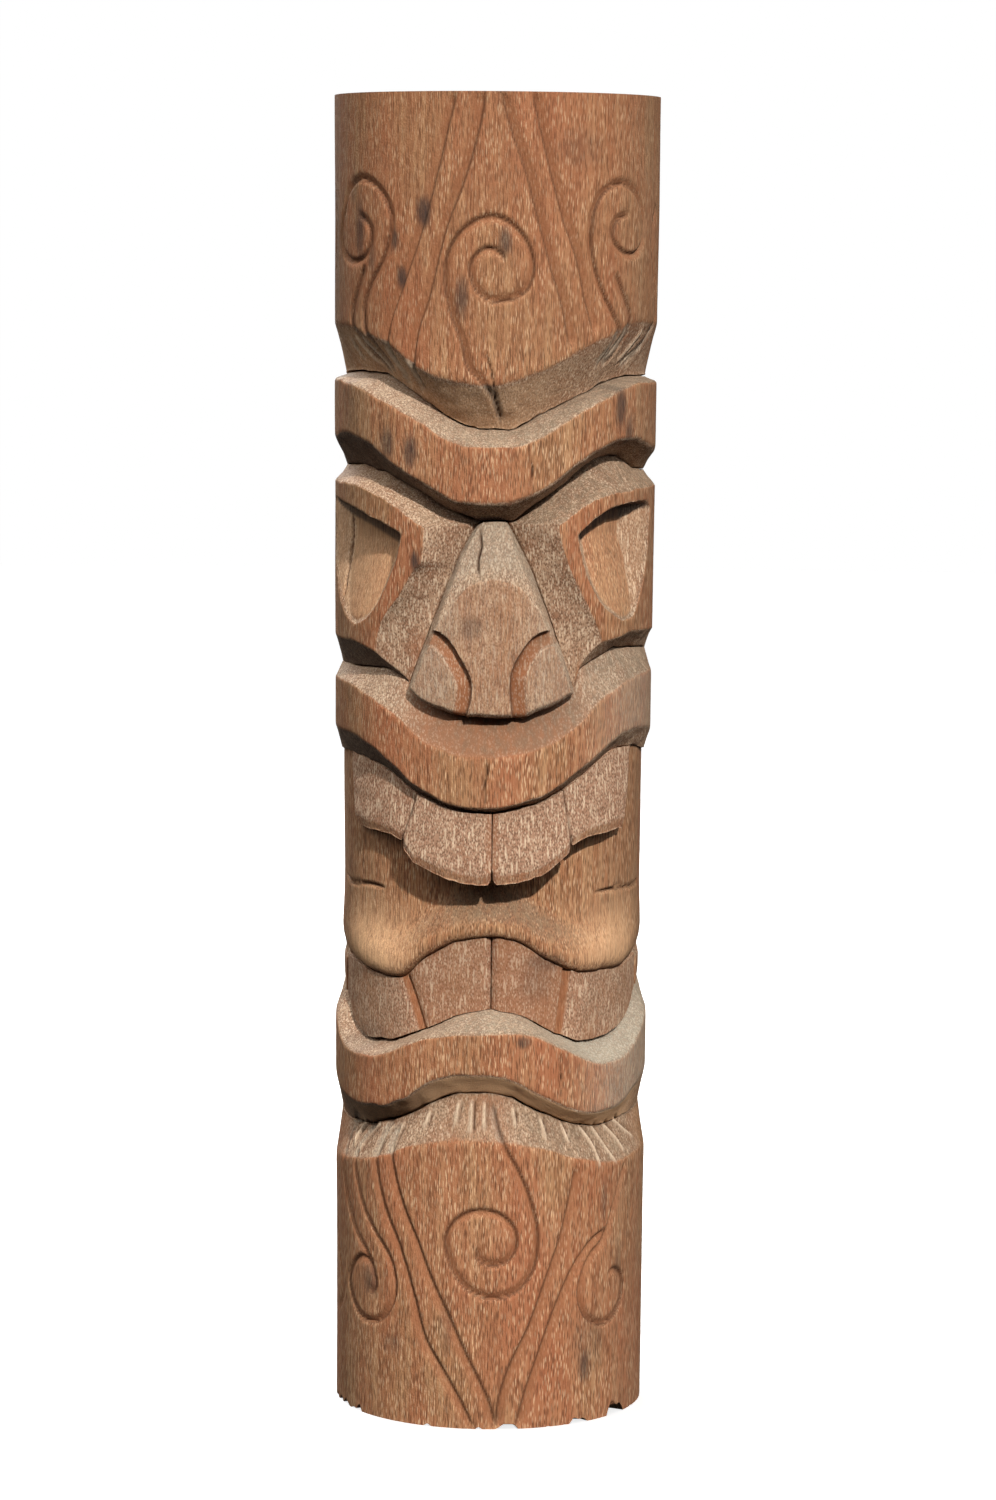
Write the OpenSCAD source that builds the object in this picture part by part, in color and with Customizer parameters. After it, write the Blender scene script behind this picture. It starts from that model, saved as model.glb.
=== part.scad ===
// Tiki figure: a standing log whose front is cut in relief as a face.
// Each carved form is its own closed solid. The forms stand on the heart of the log
// and meet each other and the log along the carved valleys.
// Frame: millimetres, +Z up, origin at the middle of the base, face towards -Y.
// Angles are measured round the log in degrees, 0 at the middle of the face, positive towards +X.

/* [Log] */
// Overall height
log_h = 1000; // [980:5:1020]
// Diameter at the base
base_d = 237; // [232:1:245]
// Diameter at the top
top_d = 248; // [240:1:256]
// Radius of the uncut heart that the carved forms stand on
heart_r = 80; // [70:1:84]

/* [Carving] */
// Depth of the main valleys below the log's surface
valley_d = 22; // [14:1:24]
// Angle from the middle of the face at which the carving has run out
wrap_a = 125; // [120:5:135]
// Angle up to which the valleys keep their full depth
full_a = 55; // [45:5:75]
// How much higher the face is cut at the right side than at the middle
slant = 3; // [0:0.5:5]

/* [Brow] */
// Height of the brow band's lower edge at the middle
brow_z = 697; // [692:1:702]
// How far the brow band rises from the middle to its ends
brow_rise = 49; // [40:1:52]
// Height of the brow band's front face at the middle
brow_h = 45; // [40:1:48]

/* [Eyes and nose] */
// Depth of the eye hollows below the log's surface
socket_d = 15; // [8:1:20]
// Height of the tip of the nose
nose_z = 541; // [536:1:546]
// Half of the nose's width, as an angle, at its foot
nose_foot_a = 35; // [32:1:38]
// Half of the nose's width, as an angle, under the brow
nose_head_a = 6; // [4:1:8]

/* [Mouth] */
// Height of the upper lip's lower edge at the middle
lip_z = 471; // [468:1:474]
// Height of the biting edge of the upper teeth at the middle
bite_z = 414; // [410:1:420]
// Height of the tongue's lower edge at the middle
tongue_z = 371; // [366:1:376]
// Depth of the tongue below the log's surface, under the upper teeth
tongue_d = 28; // [20:1:32]
// Angle of the corner of the mouth
mouth_a = 85; // [80:5:85]
// Half of the upper row of teeth, as an angle, at its top
row_top_a = 70; // [70:5:70]
// Half of the upper row of teeth, as an angle, at its biting edge
row_low_a = 65; // [65:5:65]

/* [Lower lip] */
// Height of the lower lip's lower edge at the middle
chin_z = 271; // [266:1:276]
// Height of the lower lip's front face at the middle
chin_h = 34; // [30:1:38]

/* [Detail] */
// Angle between the columns of points round the log
step_a = 5; // [5:5:5]
// Rows of points up each eye and the nose
face_rows = 16; // [12:1:20]

/* [Hidden] */

WOOD = "peru";
WOOD_DARK = "sienna";
WOOD_PALE = "burlywood";

// The carved lines. Each is [height at the middle, height at its turn, angle of the turn,
// height where the carving runs out], and eases from one height to the next.
CROWN_EDGE = [brow_z + 88, brow_z + 131, 60, brow_z + 123];
BROW_TOP = [brow_z + brow_h + 11, brow_z + brow_rise + 50, 72, brow_z + 88];
BROW_ARRIS = [brow_z + brow_h, brow_z + brow_rise + 42, 64, brow_z + 80];
BROW_LOW = [brow_z, brow_z + brow_rise, 60, brow_z + 35];
EYE_TOP = [brow_z - 11, brow_z + brow_rise - 18, 68, brow_z + 17];
EYE_ARRIS = [brow_z - 29, brow_z + brow_rise - 37, 64, brow_z + 5];
EYE_LOW = [nose_z + 20, nose_z + 54, 60, nose_z + 52];
LIP_TOP = [nose_z, nose_z + 33, 62, nose_z + 27];
LIP_ARRIS = [lip_z + 39, lip_z + 94, 72, lip_z + 85];
LIP_LOW = [lip_z, lip_z + 54, 66, lip_z + 41];
TEETH_TOP = [lip_z - 4, lip_z + 35, 66, lip_z + 27];
BITE = [bite_z, bite_z + 34, 56, bite_z + 36];
TONGUE_LOW = [tongue_z, tongue_z - 32, 50, tongue_z - 26];
GUM = [chin_z + 46, chin_z + 18, 53, chin_z + 79];
CHIN_ARRIS = [chin_z + chin_h, chin_z + 7, 54, chin_z + 39];
CHIN_LOW = [chin_z, chin_z - 33, 50, chin_z - 9];
BEARD_TOP = [chin_z - 15, chin_z - 48, 58, chin_z - 35];
BEARD_EDGE = [chin_z - 51, chin_z - 76, 65, chin_z - 76];

lip_back_cut = 12;        // valley between the upper lip and the nose, below the log's surface
beard_back_cut = 12;      // valley under the lower lip, below the log's surface
underlip_cut = 10;        // depth of the upper lip's underside
tooth_root_cut = 5;       // top of the upper teeth, under the overhang of the upper lip
bite_cut = 3;             // biting edge of the upper teeth, below the log's surface
gum_cut = 24;             // foot of the lower teeth, below the log's surface
lower_tooth_cut = 19;     // head of the lower teeth, below the log's surface
lobe_cut = 10;            // lower edge of the tongue, below the log's surface
mouth_side_cut = 5;       // tongue and teeth at the corners of the mouth
socket_tip = [57, nose_z + 66];      // lower tip of an eye hollow: angle and height
socket_inner = [35, brow_z - 23];    // its corner beside the nose
socket_outer = [86, brow_z - 1];     // its corner at the side of the head
recess_gap_a = 0.05;      // angle by which the log clears the ends of the carved forms

function clamp01(t) = min(1, max(0, t));
function mix(p, q, t) = p + (q - p) * t;
function ease(t) = (1 - cos(180 * clamp01(t))) / 2;

// Radius of the uncarved log at a height.
function log_r(z) = mix(base_d, top_d, z / log_h) / 2;

// Share of its full depth that the carving has at an angle.
function run_out(a) = 1 - ease((abs(a) - full_a) / (wrap_a - full_a));

// Height of a carved line at an angle.
function height(line, a) =
    let (s = abs(a), mid = line[0], turn = line[1], turn_a = line[2], side = line[3])
    slant * sin(a) + (s < turn_a
        ? mix(mid, turn, ease(s / turn_a))
        : mix(turn, side, ease((s - turn_a) / (wrap_a - turn_a))));

// Point at an angle and a height, a depth below the log's surface.
function at(a, z, cut) = let (r = log_r(z) - cut) [r * sin(a), -r * cos(a), z];

function at_heart(a, z) = [heart_r * sin(a), -heart_r * cos(a), z];

function columns(from, to) = [for (a = [from : step_a : to]) a];

// Two triangles for each cell of a grid of points, with its first point at an index.
function cells(cols, rows, first, flip) =
    [for (i = [0 : cols - 2], j = [0 : rows - 2])
        let (p = first + i * rows + j, q = p + rows)
        each flip ? [[p, p + 1, q + 1], [p, q + 1, q]] : [[p, q + 1, p + 1], [p, q, q + 1]]];

// Two triangles for each step between two equal strips of point indices.
function strip(lower, upper) =
    [for (i = [0 : len(lower) - 2])
        each [[lower[i], upper[i], upper[i + 1]], [lower[i], upper[i + 1], lower[i + 1]]]];

// A closed solid over a grid of [angle, height, cut], from its carved surface down to the heart.
module carved(grid) {
    cols = len(grid);
    rows = len(grid[0]);
    n = cols * rows;
    outer = [for (column = grid, p = column) at(p[0], p[1], p[2])];
    inner = [for (column = grid, p = column) at_heart(p[0], p[1])];
    left = [for (j = [0 : rows - 1]) j];
    right = [for (j = left) j + (cols - 1) * rows];
    low = [for (i = [0 : cols - 1]) i * rows];
    high = [for (i = low) i + rows - 1];
    polyhedron(
        points = concat(outer, inner),
        faces = concat(
            cells(cols, rows, 0, false),
            cells(cols, rows, n, true),
            strip([for (k = left) k + n], left),
            strip(right, [for (k = right) k + n]),
            strip(low, [for (k = low) k + n]),
            strip([for (k = high) k + n], high)));
}

// ---- Log: base with the beard, heart, uncarved back, and crown ----

// Rows of the log at an angle, from its base to its top, as [radius, height].
function log_rows(a) =
    let (
        carved_here = abs(a) <= wrap_a,
        low = height(BEARD_TOP, a),
        high = height(BROW_TOP, a),
        heart_low = carved_here ? heart_r : log_r(low),
        heart_high = carved_here ? heart_r : log_r(high),
        edge_low = height(BEARD_EDGE, a),
        edge_high = height(CROWN_EDGE, a))
    [[log_r(0), 0], [log_r(edge_low), edge_low],
     [log_r(low) - beard_back_cut * run_out(a), low],
     [heart_low, low], [heart_high, high],
     [log_r(high) - valley_d * run_out(a), high], [log_r(edge_high), edge_high], [log_r(log_h), log_h]];

module log() {
    ends = [-wrap_a - recess_gap_a, wrap_a + recess_gap_a];
    back = [for (a = [wrap_a + step_a : step_a : 360 - wrap_a - step_a]) a];
    turn = concat([ends[0]], columns(-wrap_a, wrap_a), [ends[1]], back);
    rows = 8;
    cols = len(turn);
    points = [for (a = turn)
        let (b = a > 180 ? a - 360 : a)
        for (p = log_rows(b)) [p[0] * sin(b), -p[0] * cos(b), p[1]]];
    sides = [for (i = [0 : cols - 1], j = [0 : rows - 2])
        let (p = i * rows + j, q = ((i + 1) % cols) * rows + j)
        each [[p, q + 1, p + 1], [p, q, q + 1]]];
    base = [for (i = [cols - 1 : -1 : 0]) i * rows];
    top = [for (i = [0 : cols - 1]) i * rows + rows - 1];
    color(WOOD) polyhedron(points = points, faces = concat(sides, [[for (k = base) k]], [top]));
}

// ---- Bands that run round the face: brow, upper lip and lower lip ----

// A band between two valleys, with an arris above and below its front face.
module band(low, low_arris, high_arris, high, low_cut, high_cut) {
    carved([for (a = columns(-wrap_a, wrap_a))
        let (
            z0 = height(low_arris, a),
            z1 = height(high_arris, a))
        [[a, height(low, a), low_cut * run_out(a)],
         [a, z0, 0],
         [a, mix(z0, z1, 0.5), 0],
         [a, z1, 0],
         [a, height(high, a), high_cut * run_out(a)]]]);
}

module brow() {
    color(WOOD_DARK) band(EYE_TOP, BROW_LOW, BROW_ARRIS, BROW_TOP, valley_d, valley_d);
}

module upper_lip() {
    color(WOOD_DARK) band(TEETH_TOP, LIP_LOW, LIP_ARRIS, LIP_TOP, underlip_cut, lip_back_cut);
}

module lower_lip() {
    color(WOOD_DARK) band(BEARD_TOP, CHIN_LOW, CHIN_ARRIS, GUM, beard_back_cut, gum_cut);
}

// ---- Eyes and nose ----

// Half width of the nose, as an angle, at a share of the way up from the lip to the brow.
function nose_a(s) = nose_head_a + (nose_foot_a - nose_head_a) * pow(1 - s, 0.75);

// Inner edge of an eye's front face, as an angle.
function eye_inner_a(z) = 26 + 0.38 * max(0, brow_z - 42 - z);

// Distance from a line through p and q, in mm over the log's surface, positive to its left.
function left_of(p, q, at_point) =
    let (
        mm = log_r(brow_z) * PI / 180,
        dx = (q[0] - p[0]) * mm,
        dz = q[1] - p[1])
    (dx * (at_point[1] - p[1]) - dz * (at_point[0] - p[0]) * mm) / norm([dx, dz]);

// Depth of the eye hollow: steep under its lid, sloping up to its inner and outer rims.
function socket_cut(a, z) =
    let (
        p = [abs(a), z - slant * sin(a)],
        under_lid = left_of(socket_outer, socket_inner, p),
        from_inner = left_of(socket_inner, socket_tip, p),
        from_outer = left_of(socket_tip, socket_outer, p))
    max(0, min(socket_d, 4 * under_lid, 1.1 * from_inner, 0.5 * from_outer,
               0.22 * (z - socket_tip[1])));

// Depth of the valley between the nose and an eye, at a share of the way up from the lip.
function fold_cut(s) = mix(lip_back_cut, valley_d, pow(s, 1.5));

// Depth of an eye's surface: level on its front face, falling to the valleys round it.
function eye_cut(a, z, s) =
    let (
        lid = clamp01((height(EYE_TOP, a) - z) / (height(EYE_TOP, a) - height(EYE_ARRIS, a))),
        foot = clamp01((z - height(LIP_TOP, a)) / (height(EYE_LOW, a) - height(LIP_TOP, a))),
        inner = clamp01((abs(a) - nose_a(s)) / max(1, eye_inner_a(z) - nose_a(s))))
    run_out(a) * max(valley_d * (1 - lid), lip_back_cut * (1 - foot),
                     fold_cut(s) * (1 - inner), socket_cut(a, z));

module eye(side) {
    cols = [for (t = [0 : 1 / 22 : 1.001]) t];
    rows = [for (j = [0 : face_rows]) j / face_rows];
    grid = [for (t = cols)
        [for (s = rows)
            let (
                a = side * mix(nose_a(s), wrap_a, t),
                z = mix(height(LIP_TOP, a), height(EYE_TOP, a), s))
            [a, z, eye_cut(a, z, s)]]];
    color(WOOD) carved(side > 0 ? grid : [for (i = [len(grid) - 1 : -1 : 0]) grid[i]]);
}

// Depth of the nose: its bridge comes forward as it falls, and its sides drop to the valley.
function nose_cut(t, s) =
    let (
        bridge = 17 * pow(s, 1.6),
        flank = clamp01((1 - abs(t)) * nose_a(s) / 5))
    mix(fold_cut(s), bridge, flank);

module nose() {
    rows = [for (j = [0 : face_rows]) j / face_rows];
    color(WOOD_PALE) carved([for (t = [-1 : 0.125 : 1])
        [for (s = rows)
            let (
                a = t * nose_a(s),
                z = mix(height(LIP_TOP, a), height(EYE_TOP, a), s))
            [a, z, nose_cut(t, s)]]]);
}

// ---- Mouth ----

// Share of its depth that the mouth keeps at an angle, less towards its corners.
function mouth_share(a) = clamp01(pow(cos(min(90, abs(a))), 2));
function mouth_cut(a, cut) = mix(mouth_side_cut, cut, mouth_share(a));

// One tooth between two slanted sides, each given as [angle at its low end, angle at its top].
module tooth(from, to, low, high, low_cut, high_cut) {
    color(WOOD_PALE) carved([for (t = [0 : 0.25 : 1])
        [for (s = [0 : 0.25 : 1])
            let (
                a = mix(mix(from[0], from[1], s), mix(to[0], to[1], s), t),
                bulge = 2 * sin(180 * t))
            [a, mix(height(low, a), height(high, a), s), mix(low_cut, high_cut, s) - bulge]]]);
}

// Sides of the upper teeth, from left to right, as [angle at the bite, angle at the top].
UPPER_SIDES = [[-row_low_a, -row_top_a], [-35, -30], [0, 0], [32, 28], [row_low_a, row_top_a]];

module upper_tooth(k) {
    tooth(UPPER_SIDES[k - 1], UPPER_SIDES[k], BITE, TEETH_TOP, bite_cut, tooth_root_cut);
}

// Sides of the lower teeth, from left to right, as [angle at the gum, angle under the tongue].
LOWER_SIDES = [[-mouth_a, -mouth_a], [-31, -36], [0, 0], [31, 36], [mouth_a, mouth_a]];

module lower_tooth(k) {
    from = LOWER_SIDES[k - 1];
    to = LOWER_SIDES[k];
    color(WOOD_PALE) carved([for (t = [0 : 0.125 : 1])
        [for (s = [0 : 0.25 : 1])
            let (a = mix(mix(from[0], from[1], s), mix(to[0], to[1], s), t))
            [a, mix(height(GUM, a), height(TONGUE_LOW, a), s),
             mouth_cut(a, mix(gum_cut, lower_tooth_cut, s))]]]);
}

// Upper edge of the tongue: under the upper teeth, and up to the lip at the mouth's corners.
function tongue_top(a) = height(abs(a) > row_low_a ? TEETH_TOP : BITE, a);

module tongue() {
    color(WOOD) carved([for (a = columns(-mouth_a, mouth_a))
        [for (s = [0 : 0.125 : 1])
            let (cut = s == 0 ? lower_tooth_cut : mix(lobe_cut, tongue_d, ease(1.15 * s)))
            [a, mix(height(TONGUE_LOW, a), tongue_top(a), max(0, s - 0.06)), mouth_cut(a, cut)]]]);
}

// Side of the head beside the mouth, from the mouth's corner to the uncarved back.
module cheek(side) {
    ordered = side > 0 ? columns(mouth_a, wrap_a) : columns(-wrap_a, -mouth_a);
    color(WOOD) carved([for (a = ordered)
        let (cut = mouth_side_cut * (1 - clamp01((abs(a) - mouth_a) / 10)))
        [for (s = [0 : 0.25 : 1]) [a, mix(height(GUM, a), height(TEETH_TOP, a), s), cut]]]);
}

log();
brow();
eye(-1);  // eye_left
eye(1);  // eye_right
nose();
upper_lip();
upper_tooth(1);  // upper_tooth_1
upper_tooth(2);  // upper_tooth_2
upper_tooth(3);  // upper_tooth_3
upper_tooth(4);  // upper_tooth_4
cheek(-1);  // cheek_left
cheek(1);  // cheek_right
tongue();
lower_tooth(1);  // lower_tooth_1
lower_tooth(2);  // lower_tooth_2
lower_tooth(3);  // lower_tooth_3
lower_tooth(4);  // lower_tooth_4
lower_lip();
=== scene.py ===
import math

import bpy
import numpy as np
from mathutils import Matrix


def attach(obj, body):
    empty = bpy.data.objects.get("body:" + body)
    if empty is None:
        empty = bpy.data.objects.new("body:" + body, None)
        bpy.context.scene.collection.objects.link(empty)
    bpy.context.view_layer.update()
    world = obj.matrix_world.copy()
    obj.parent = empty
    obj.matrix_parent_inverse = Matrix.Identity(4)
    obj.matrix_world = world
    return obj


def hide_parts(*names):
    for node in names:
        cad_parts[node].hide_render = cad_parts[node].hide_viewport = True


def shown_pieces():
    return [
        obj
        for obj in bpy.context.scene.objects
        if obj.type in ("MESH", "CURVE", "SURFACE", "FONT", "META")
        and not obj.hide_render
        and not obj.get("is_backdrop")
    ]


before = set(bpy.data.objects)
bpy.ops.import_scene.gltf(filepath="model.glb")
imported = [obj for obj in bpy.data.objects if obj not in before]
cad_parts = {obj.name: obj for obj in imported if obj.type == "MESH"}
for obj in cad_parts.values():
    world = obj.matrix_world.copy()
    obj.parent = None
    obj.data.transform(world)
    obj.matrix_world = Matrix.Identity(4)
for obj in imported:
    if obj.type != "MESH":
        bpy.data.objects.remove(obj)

# A tiki totem: one log with a face carved in it. Each carved form of the CAD frame is built again
# here as a fine mesh, with its tool marks, grooves, cracks and worn edges, and stands for its node.
# Lengths are in millimetres and angles in degrees round the log, 0 at the middle of the face and
# positive towards +X, until a mesh is made in metres.

MM = 0.001
scene = bpy.context.scene
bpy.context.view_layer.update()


def node_points(node):
    """The corner points of a CAD node, in mm."""
    return np.array([v.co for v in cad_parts[node].data.vertices]) / MM


LOG = node_points("log")
BROW = node_points("brow")
LOG_H = LOG[:, 2].max()
TOP_R = LOG[:, 0].max()
BASE_R = LOG[LOG[:, 2] < 1, 0].max()
HEART_R = np.hypot(BROW[:, 0], BROW[:, 1]).min()
WRAP_A = round(np.degrees(np.arctan2(BROW[:, 0], -BROW[:, 1])).max())
FULL_A = 55  # up to this angle the valleys have their full depth
VALLEY = 22  # depth of the main valleys
LIP_BACK = 12  # depth of the valley over the upper lip
BEARD_BACK = 12  # depth of the valley under the lower lip
UNDERLIP = 10  # how far the upper lip overhangs the teeth
MM_PER_DEGREE = math.radians(1) * (TOP_R + BASE_R) / 2

# --- Lines and noise ---

# Carved lines, each as angle: height from the left edge of the carving to the right one.
LINES = {
    "crown_edge": {-125: 820, -75: 829, -53: 823, -40: 814, -29: 798, -18: 790, -3: 786, 11: 793,
        28: 808, 42: 821, 62: 832, 85: 830, 125: 820},
    "brow_top": {-125: 785, -75: 793, -57: 793, -35: 777, -16: 758, -3: 753, 5: 753, 20: 765, 40: 779,
        54: 787, 71: 791, 90: 791, 125: 785},
    "brow_arris": {-125: 777, -80: 788, -62: 786, -48: 778, -27: 759, -18: 748, -8: 742, 5: 742,
        15: 748, 24: 759, 35: 771, 48: 782, 62: 788, 85: 788, 125: 777},
    "brow_low": {-125: 732, -80: 744, -66: 747, -53: 742, -35: 721, -21: 706, -12: 698, 0: 697,
        15: 706, 33: 730, 43: 740, 55: 745, 68: 741, 80: 736, 125: 732},
    "eye_top": {-125: 716, -77: 723, -56: 719, -38: 708, -16: 690, -6: 685, 7: 685, 14: 692, 35: 717,
        48: 729, 58: 732, 68: 729, 80: 722, 125: 716},
    "eye_arris": {-125: 704, -80: 711, -63: 711, -52: 707, -42: 701, -26: 682, -6: 664, 6: 664,
        23: 684, 38: 701, 49: 706, 64: 708, 80: 709, 125: 704},
    "eye_low": {-125: 593, -63: 592, -47: 584, -37: 577, -25: 570, 25: 578, 32: 586, 41: 594, 51: 597,
        61: 600, 88: 598, 125: 595},
    "lip_top": {-125: 568, -88: 571, -48: 572, -35: 563, -27: 550, -18: 543, -8: 539, 8: 539, 18: 545,
        33: 561, 36: 574, 44: 581, 56: 588, 70: 587, 88: 584, 125: 573},
    "lip_arris": {-125: 556, -75: 561, -60: 558, -48: 549, -37: 539, -23: 518, -8: 510, 4: 511,
        20: 519, 32: 534, 44: 553, 67: 567, 90: 566, 125: 556},
    "lip_low": {-125: 512, -80: 523, -65: 522, -52: 516, -42: 506, -26: 483, -12: 473, 0: 471,
        17: 480, 37: 504, 46: 516, 57: 525, 67: 526, 85: 522, 125: 512},
    "teeth_top": {-125: 498, -80: 505, -64: 504, -49: 499, -29: 480, -14: 470, 0: 468, 14: 473,
        30: 486, 45: 503, 55: 512, 66: 512, 85: 507, 125: 498},
    "bite": {-65: 448, -61: 447, -44: 444, -35: 438, -30: 429, -15: 418, -5: 415, 5: 415, 17: 420,
        29: 436, 40: 445, 52: 448, 65: 449},
    "tongue_low": {-85: 346, -70: 342, -55: 338, -44: 337, -29: 355, -12: 370, 0: 372, 10: 369,
        26: 353, 41: 343, 63: 342, 85: 348},
    "gum": {-125: 350, -88: 322, -74: 297, -62: 288, -52: 289, -33: 299, -12: 314, 0: 317, 10: 314,
        32: 297, 41: 291, 52: 291, 70: 300, 88: 327, 125: 350},
    "chin_arris": {-125: 310, -88: 302, -68: 281, -53: 279, -42: 284, -22: 300, 0: 304, 13: 303,
        29: 289, 37: 281, 47: 276, 58: 278, 70: 289, 88: 305, 125: 310},
    "chin_low": {-125: 262, -88: 254, -70: 243, -56: 239, -44: 241, -34: 248, -19: 267, -6: 271,
        4: 269, 16: 257, 31: 242, 42: 237, 52: 239, 72: 254, 90: 260, 125: 262},
    "beard_top": {-125: 236, -73: 221, -60: 222, -50: 227, -36: 236, -14: 254, -4: 256, 6: 254,
        16: 245, 36: 229, 50: 225, 76: 228, 125: 236},
    "beard_edge": {-125: 195, -88: 190, -60: 195, -45: 202, -29: 214, -12: 219, 5: 218, 18: 214,
        36: 203, 55: 196, 73: 198, 125: 195},
}

LATTICE_SIZE = 64
LATTICE = np.random.default_rng(11).uniform(-1, 1, (LATTICE_SIZE,) * 3)


def noise(points, size, shift=0.0):
    """Smooth noise from -1 to 1. Its lumps are about size mm across, one size or one for each axis."""
    at = points / np.broadcast_to(np.asarray(size, float), (3,)) + shift + 1000
    cell = np.floor(at).astype(int)
    part = at - cell
    part = part * part * (3 - 2 * part)
    total = 0
    for corner in np.ndindex(2, 2, 2):
        index = (cell + corner) % LATTICE_SIZE
        weight = np.prod(np.where(corner, part, 1 - part), axis=-1)
        total = total + weight * LATTICE[index[..., 0], index[..., 1], index[..., 2]]
    return total


def hermite(t, width, p, q, slope_p, slope_q):
    """Where a smooth stretch from p to q, with a slope at each end, is at a share t of its width."""
    return ((1 + 2 * t) * (1 - t) ** 2 * p + t * (1 - t) ** 2 * width * slope_p
            + t * t * (3 - 2 * t) * q + t * t * (t - 1) * width * slope_q)


def curve(points, x):
    """Smooth curve through a few x: y points that never overshoots them."""
    xs, ys = np.array(list(points.items()), float).T
    slope = np.diff(ys) / np.diff(xs)
    before, after = slope[:-1], slope[1:]
    turns = before * after <= 0
    steady = np.where(turns, 1, before + after)
    inner = np.where(turns, 0, 2 * before * after / steady)
    tangent = np.concatenate([slope[:1], inner, slope[-1:]])
    k = np.clip(np.searchsorted(xs, x) - 1, 0, len(xs) - 2)
    width = xs[k + 1] - xs[k]
    t = np.clip((x - xs[k]) / width, 0, 1)
    return hermite(t, width, ys[k], ys[k + 1], tangent[k], tangent[k + 1])


def mix(p, q, t):
    return p + (q - p) * t


def ease(t):
    t = np.clip(t, 0, 1)
    return t * t * (3 - 2 * t)


def rising(x, low, high):
    """0 below low, 1 above high, and smooth between."""
    return ease((x - low) / (high - low))


def falling(x, reach):
    """1 at 0, and evenly down to 0 at reach."""
    return np.clip(1 - x / reach, 0, 1)


def sinking(x, low, high):
    return 1 - rising(x, low, high)


def bell(x, middle, width):
    return np.exp(-((x - middle) / width) ** 2)


def log_r(z):
    """Radius of the uncarved log."""
    return mix(BASE_R, TOP_R, z / LOG_H)


def run_out(a):
    """Share of its full depth that the carving has at an angle."""
    return 1 - ease((np.abs(a) - FULL_A) / (WRAP_A - FULL_A))


KNIFE_WANDER = 0.7  # how far a carved line strays from its smooth course, in mm


def height(line, a):
    """Height of a carved line, with the small waver of a hand-held knife."""
    seed = 10.0 * list(LINES).index(line)
    along = np.stack([a * MM_PER_DEGREE, np.full_like(a, seed), np.zeros_like(a)], -1)
    waver = noise(along, 13) + 0.5 * noise(along, 5)
    return curve(LINES[line], a) + KNIFE_WANDER * waver * run_out(a)


def place(a, z, cut):
    """Points at angles and heights, a cut below the log's surface."""
    r = log_r(z) - cut
    turn = np.radians(a)
    return np.stack([r * np.sin(turn), -r * np.cos(turn), z], -1)


def soften(values, passes, axis):
    """Rounds the corners in rows of values, and keeps the first and last ones."""
    values = np.moveaxis(np.array(values, float), axis, 0)
    for _ in range(passes):
        values[1:-1] = (values[:-2] + 2 * values[1:-1] + values[2:]) / 4
    return np.moveaxis(values, 0, axis)


def outward(points):
    """Unit normals of a grid of points, out of the log."""
    n = np.cross(np.gradient(points, axis=0), np.gradient(points, axis=1))
    return n / np.linalg.norm(n, axis=-1, keepdims=True)


# --- Grooves, cracks and stains, all drawn on the log's unrolled surface ---

GROOVE_D = 2.8  # depth of a groove
STOP_W = 1.8  # width of its steep side, along the knife's stop cut
SCROLL = 5.5  # width of the sloped side of a scroll
LINE = 7.5  # width of the sloped side of a straight groove
RIDGE_H = 1.2  # height of a ridge between gouge strokes
GOUGE_D = 2.0  # depth of the cut beside it
CRACK_D = 3.0

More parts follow.
